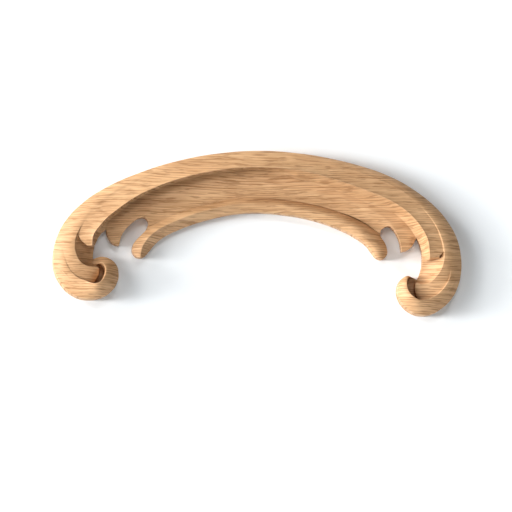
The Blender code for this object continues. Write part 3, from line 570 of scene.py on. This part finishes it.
def floor_block(name):
    """The deepest level: a plain block under the whole plan."""
    margin = CLEAR * MM
    depth = node_low.y * FLOOR_HEIGHT / DRAWN_THICKNESS
    low = (node_low.x - margin, depth, node_low.z - margin)
    high = (node_high.x + margin, margin, node_high.z + margin)
    mesh = bmesh.new()
    bmesh.ops.create_cube(mesh, size=1)
    for vert in mesh.verts:
        vert.co = [a + (b - a) * (c + 0.5) for a, b, c in zip(low, high, vert.co)]
    return as_object(name, mesh)


def boolean(target, operation, other):
    modifier = target.modifiers.new(other.name, "BOOLEAN")
    modifier.operation = operation
    modifier.solver = "EXACT"
    modifier.object = other


def baked(target):
    """The target's mesh with its modifiers worked in."""
    graph = bpy.context.evaluated_depsgraph_get()
    data = bpy.data.meshes.new_from_object(target.evaluated_get(graph))
    target.modifiers.clear()
    return data


def carved_oak():
    """The finely carved onlay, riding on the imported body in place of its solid."""
    drawn = (
        ("band", BAND, band_section),
        ("leaf", LEAF, leaf_section),
        ("web", WEB, web_section),
        ("lip", LIP, lip_section),
        ("volute_left", VOLUTE_LEFT, volute_section),
        ("volute_right", VOLUTE_RIGHT, volute_section),
    )
    carving = floor_block("carving")
    helpers = [carving]
    for order, (name, ribs, section) in enumerate(drawn):
        piece = strand(name, ribs, section, BEHIND + BEHIND_STEP * order)
        helpers.append(piece)
        boolean(carving, "UNION", piece)
    board = blank("board")
    helpers.append(board)
    boolean(board, "INTERSECT", carving)
    data = baked(board)
    for helper in helpers:
        bpy.data.objects.remove(helper)
    data.name = "carved_oak"
    for face in data.polygons:
        face.use_smooth = True
    data.set_sharp_from_angle(angle=math.radians(SHARP_ANGLE))
    made = bpy.data.objects.new("carved_oak", data)
    bpy.context.scene.collection.objects.link(made)
    return made


class Nodes:
    """Short calls that add and join the nodes of one material."""

    def __init__(self, name):
        self.material = bpy.data.materials.new(name)
        self.material.use_nodes = True
        self.tree = self.material.node_tree
        self.shader = self.tree.nodes["Principled BSDF"]

    def add(self, kind, inputs=None, **settings):
        node = self.tree.nodes.new(kind)
        for key, value in settings.items():
            setattr(node, key, value)
        for key, value in (inputs or {}).items():
            self.put(node.inputs[key], value)
        return node

    def put(self, socket, value):
        if isinstance(value, bpy.types.NodeSocket):
            self.tree.links.new(value, socket)
        else:
            socket.default_value = value

    def maths(self, operation, first, second=0.0):
        return self.add("ShaderNodeMath", {0: first, 1: second}, operation=operation).outputs[0]

    def plus(self, first, second):
        return self.maths("ADD", first, second)

    def minus(self, first, second):
        return self.maths("SUBTRACT", first, second)

    def times(self, first, second):
        return self.maths("MULTIPLY", first, second)

    def stretched(self, place_in, scale, shift=(0, 0, 0)):
        """The coordinates times a scale along each axis, then shifted."""
        values = {"Vector": place_in, "Scale": scale, "Location": shift}
        return self.add("ShaderNodeMapping", values).outputs[0]

    def noise(self, place_in, measures):
        """Noise over coordinates in millimetres, from 0 to 1, by its scale, shift and detail."""
        scale, shift, detail = measures
        values = {"Vector": self.stretched(place_in, scale, shift), "Scale": 1.0, "Detail": detail}
        return self.add("ShaderNodeTexNoise", values).outputs[0]

    def ramp(self, value, low, high, start=0.0, end=1.0, smooth=True):
        """The value between low and high, spread from start to end and held there outside."""
        kind = "SMOOTHSTEP" if smooth else "LINEAR"
        values = {"Value": value, "From Min": low, "From Max": high, "To Min": start, "To Max": end}
        return self.add("ShaderNodeMapRange", values, interpolation_type=kind).outputs[0]

    def blend(self, share, first, second):
        """A mix of two colours. The node has its colours on sockets 6 and 7, and gives out its third."""
        node = self.add("ShaderNodeMix", data_type="RGBA")
        self.put(node.inputs[0], share)
        self.put(node.inputs[6], first)
        self.put(node.inputs[7], second)
        return node.outputs[2]


def oak():
    """Bare sanded oak, grain along X: growth rings, streaks, pores and rays, with a painted highlight on its
    crests and painted shade in its corners.
    """
    n = Nodes("oak")
    where = n.add("ShaderNodeTexCoord").outputs["Object"]
    where = n.stretched(where, (1 / MM, 1 / MM, 1 / MM))

    # The grain wanders slowly up and down along the board.
    wander = n.times(n.minus(n.noise(where, WANDER), NOISE_MIDDLE), GRAIN_WANDER)
    drift = n.times(n.minus(n.noise(where, DRIFT), NOISE_MIDDLE), GRAIN_DRIFT)
    x, y, z = n.add("ShaderNodeSeparateXYZ", {0: where}).outputs
    grain_z = n.plus(z, n.plus(wander, drift))
    grain = n.add("ShaderNodeCombineXYZ", {0: x, 1: y, 2: grain_z}).outputs[0]

    # Growth rings stand almost on edge, so they show as long level bands with slow swells.
    across = n.plus(n.times(grain_z, RING_RISE), n.times(y, RING_LEAN))
    across = n.plus(across, n.times(n.noise(grain, RINGS), RING_UNEVEN))
    turn = n.maths("FRACT", n.maths("DIVIDE", across, RING_PITCH))
    early = n.times(n.ramp(turn, *EARLY_START), n.ramp(turn, *EARLY_END, 1.0, 0.0))

    # Broad bands of tone, then level streaks of two lengths, drawn out along the board and through it.
    streaks = n.noise(grain, STREAKS)
    fine = n.noise(grain, FINE)
    tone = n.plus(n.times(n.noise(grain, BANDS), BAND_TONE), n.times(streaks, STREAK_TONE))
    tone = n.plus(tone, n.times(fine, FINE_TONE))
    tone = n.plus(tone, n.times(early, EARLY_TONE))
    middle = (BAND_TONE + STREAK_TONE + FINE_TONE) * NOISE_MIDDLE + EARLY_TONE * EARLY_MEAN
    tone = n.ramp(tone, middle - TONE_HALF, middle + TONE_HALF, smooth=False)
    colour = n.blend(tone, OAK_PALE, OAK_DARK)
    patches = n.ramp(n.noise(where, PATCHES), *PATCH_RANGE, 0.0, PATCH_SHARE)
    colour = n.blend(patches, colour, OAK_RED)

    # Vessel rows: thin dark level lines at uneven steps, broken along their length.
    phase = n.times(n.noise(grain, LINE_PHASE), LINE_UNEVEN)
    phase = n.plus(phase, n.times(grain_z, math.tau / LINE_PITCH))
    rows = n.ramp(n.maths("SINE", phase), *LINE_RANGE)
    rows = n.times(rows, n.ramp(n.noise(grain, LINE_BREAKS), *LINE_BREAK_RANGE))
    colour = n.blend(n.times(rows, LINE_SHARE), colour, OAK_LINE)

    # Pores: thin dark dashes along the grain, closest in the early wood of each ring.
    edge = n.minus(DASH_EDGE, n.times(early, DASH_EARLY))
    pore = n.ramp(n.minus(n.noise(grain, DASHES), edge), *DASH_SOFT)
    colour = n.blend(n.times(pore, PORE_SHARE), colour, OAK_PORE)

    # Rays: small pale flecks.
    ray_field = n.stretched(grain, [1 / size for size in RAY_CELL], RAY_SHIFT)
    flecks = n.add("ShaderNodeTexVoronoi", {"Vector": ray_field, "Scale": 1.0}, feature="F1")
    ray = n.ramp(flecks.outputs["Distance"], *RAY_RANGE, 1.0, 0.0)
    colour = n.blend(n.times(ray, RAY_SHARE), colour, OAK_RAY)

    # Painted highlight and painted shade: crests open to the light are painted a little paler, and corners
    # and creases a little darker, where ambient occlusion finds them.
    around = n.add("ShaderNodeAmbientOcclusion", {"Distance": CORNER_REACH}, samples=CORNER_SAMPLES)
    # Painted shade: the more occluded a point is, the darker its colour.
    corner = n.ramp(around.outputs["AO"], *CORNER_SHADE_RANGE, CORNER_SHADE_SHARE, 0.0)
    colour = n.blend(corner, colour, OAK_PAINTED_SHADE)
    rounded = n.add("ShaderNodeBevel", {"Radius": EDGE_RADIUS}, samples=EDGE_SAMPLES).outputs[0]
    flat = n.add("ShaderNodeNewGeometry").outputs["Normal"]
    bend = n.add("ShaderNodeVectorMath", {0: rounded, 1: flat}, operation="DOT_PRODUCT").outputs["Value"]
    # Painted highlight: where the bevelled normal bends away from the face on an open crest, the colour is
    # lightened.
    crest = n.times(n.ramp(bend, *BEND_RANGE), n.ramp(around.outputs["AO"], *OPEN_RANGE))
    colour = n.blend(n.times(crest, CREST_HIGHLIGHT_SHARE), colour, OAK_PAINTED_HIGHLIGHT)
    n.put(n.shader.inputs["Base Color"], colour)

    rough = n.plus(n.times(fine, ROUGH_FINE), ROUGH_LOW)
    rough = n.plus(rough, n.times(pore, ROUGH_PORE))
    n.put(n.shader.inputs["Roughness"], rough)
    n.put(n.shader.inputs["Specular IOR Level"], OAK_SPECULAR)

    # Faint tool marks roll over the surface, and the grain is a little raised on them.
    relief = n.minus(n.times(fine, FINE_HEIGHT), n.times(pore, PORE_HEIGHT))
    relief = n.plus(relief, n.times(streaks, STREAK_HEIGHT))
    rolling = n.add("ShaderNodeBump", {
        "Height": n.noise(where, TOOL_MARKS), "Distance": TOOL_DEPTH, "Strength": 1.0, "Normal": rounded,
    }).outputs[0]
    bump = n.add("ShaderNodeBump", {
        "Height": relief, "Distance": GRAIN_DEPTH, "Strength": 1.0, "Normal": rolling,
    })
    n.put(n.shader.inputs["Normal"], bump.outputs[0])
    return n.material


def stage_material(name, colour, see_through_behind):
    """Matte studio board. The one behind the onlay isn't there for a view from its back."""
    n = Nodes(name)
    n.put(n.shader.inputs["Base Color"], colour)
    n.put(n.shader.inputs["Roughness"], BOARD_ROUGHNESS)
    n.put(n.shader.inputs["Specular IOR Level"], 0.0)
    if see_through_behind:
        output = n.tree.nodes["Material Output"]
        behind = n.add("ShaderNodeNewGeometry").outputs["Backfacing"]
        clear = n.add("ShaderNodeBsdfTransparent").outputs[0]
        mix = n.add("ShaderNodeMixShader", {0: behind, 1: n.shader.outputs[0], 2: clear})
        n.put(output.inputs["Surface"], mix.outputs[0])
    return n.material


def sheet(name, corners, material):
    """A flat stage piece through four corners, anticlockwise as seen from its lit side."""
    mesh = bmesh.new()
    mesh.faces.new([mesh.verts.new(corner) for corner in corners])
    made = as_object(name, mesh)
    made.data.materials.append(material)


def sun(name, toward, power):
    """Even light from far away, in the direction of a vector."""
    light = bpy.data.lights.new(name, "SUN")
    light.energy = power
    light.angle = math.radians(DAYLIGHT_SPREAD)
    lamp = bpy.data.objects.new(name, light)
    bpy.context.scene.collection.objects.link(lamp)
    lamp.rotation_euler = toward.to_track_quat("Z", "Y").to_euler()


def studio():
    """A pale board behind the onlay, a pale floor far below it, and soft daylight from the left."""
    board = stage_material("board", BOARD_COLOUR, True)
    floor = stage_material("floor", BOARD_COLOUR, False)
    r = BOARD_REACH
    y = -BOARD_SET_IN
    z = FLOOR_LEVEL
    sheet("backdrop", [(-r, y, z), (r, y, z), (r, y, r), (-r, y, r)], board)
    sheet("floor", [(-r, -r, z), (r, -r, z), (r, y, z), (-r, y, z)], floor)

    for order, (out, around, power) in enumerate(DAYLIGHT):
        out = math.radians(out)
        around = math.radians(around)
        level = math.cos(out)
        toward = Vector((math.cos(around) * level, -math.sin(out), math.sin(around) * level))
        sun("daylight_%d" % order, toward, power)
    sun("behind", Vector(BACK_TOWARD), BACK_POWER)

    world = bpy.data.worlds.new("studio")
    bpy.context.scene.world = world
    world.use_nodes = True
    tree = world.node_tree
    around = tree.nodes["Background"]
    around.inputs["Strength"].default_value = AROUND_POWER
    around.inputs["Color"].default_value = AROUND_COLOUR
    seen = tree.nodes.new("ShaderNodeBackground")
    seen.inputs["Color"].default_value = BACKGROUND_COLOUR
    path = tree.nodes.new("ShaderNodeLightPath")
    mix = tree.nodes.new("ShaderNodeMixShader")
    tree.links.new(path.outputs["Is Camera Ray"], mix.inputs[0])
    tree.links.new(around.outputs[0], mix.inputs[1])
    tree.links.new(seen.outputs[0], mix.inputs[2])
    tree.links.new(mix.outputs[0], tree.nodes["World Output"].inputs["Surface"])


def camera():
    """The photograph's view: from a little to the left and below, through a long lens."""
    data = bpy.data.cameras.new("camera")
    data.lens = LENS
    data.sensor_width = SENSOR
    data.clip_start = CLIP_NEAR
    data.clip_end = CLIP_FAR
    made = bpy.data.objects.new("camera", data)
    bpy.context.scene.collection.objects.link(made)
    turn = math.radians(VIEW_TURN)
    tilt = math.radians(VIEW_TILT)
    level = math.cos(tilt)
    back = Vector((math.sin(turn) * level, -math.cos(turn) * level, math.sin(tilt)))
    distance = PHOTO_SIDE * MM_A_PIXEL * MM * LENS / SENSOR
    aim = Vector((
        (PHOTO_SIDE / 2 - CROWN_PIXEL[0]) * MM_A_PIXEL * MM,
        0,
        (CROWN_PIXEL[1] - PHOTO_SIDE / 2) * MM_A_PIXEL * MM,
    ))
    made.location = aim + back * distance
    made.rotation_euler = (-back).to_track_quat("-Z", "Y").to_euler()
    bpy.context.scene.camera = made


def main():
    camera()
    studio()
    bpy.context.scene.view_settings.view_transform = "Standard"
    carved = carved_oak()
    carved.data.materials.append(oak())
    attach(carved, "root")
    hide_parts("onlay")


main()
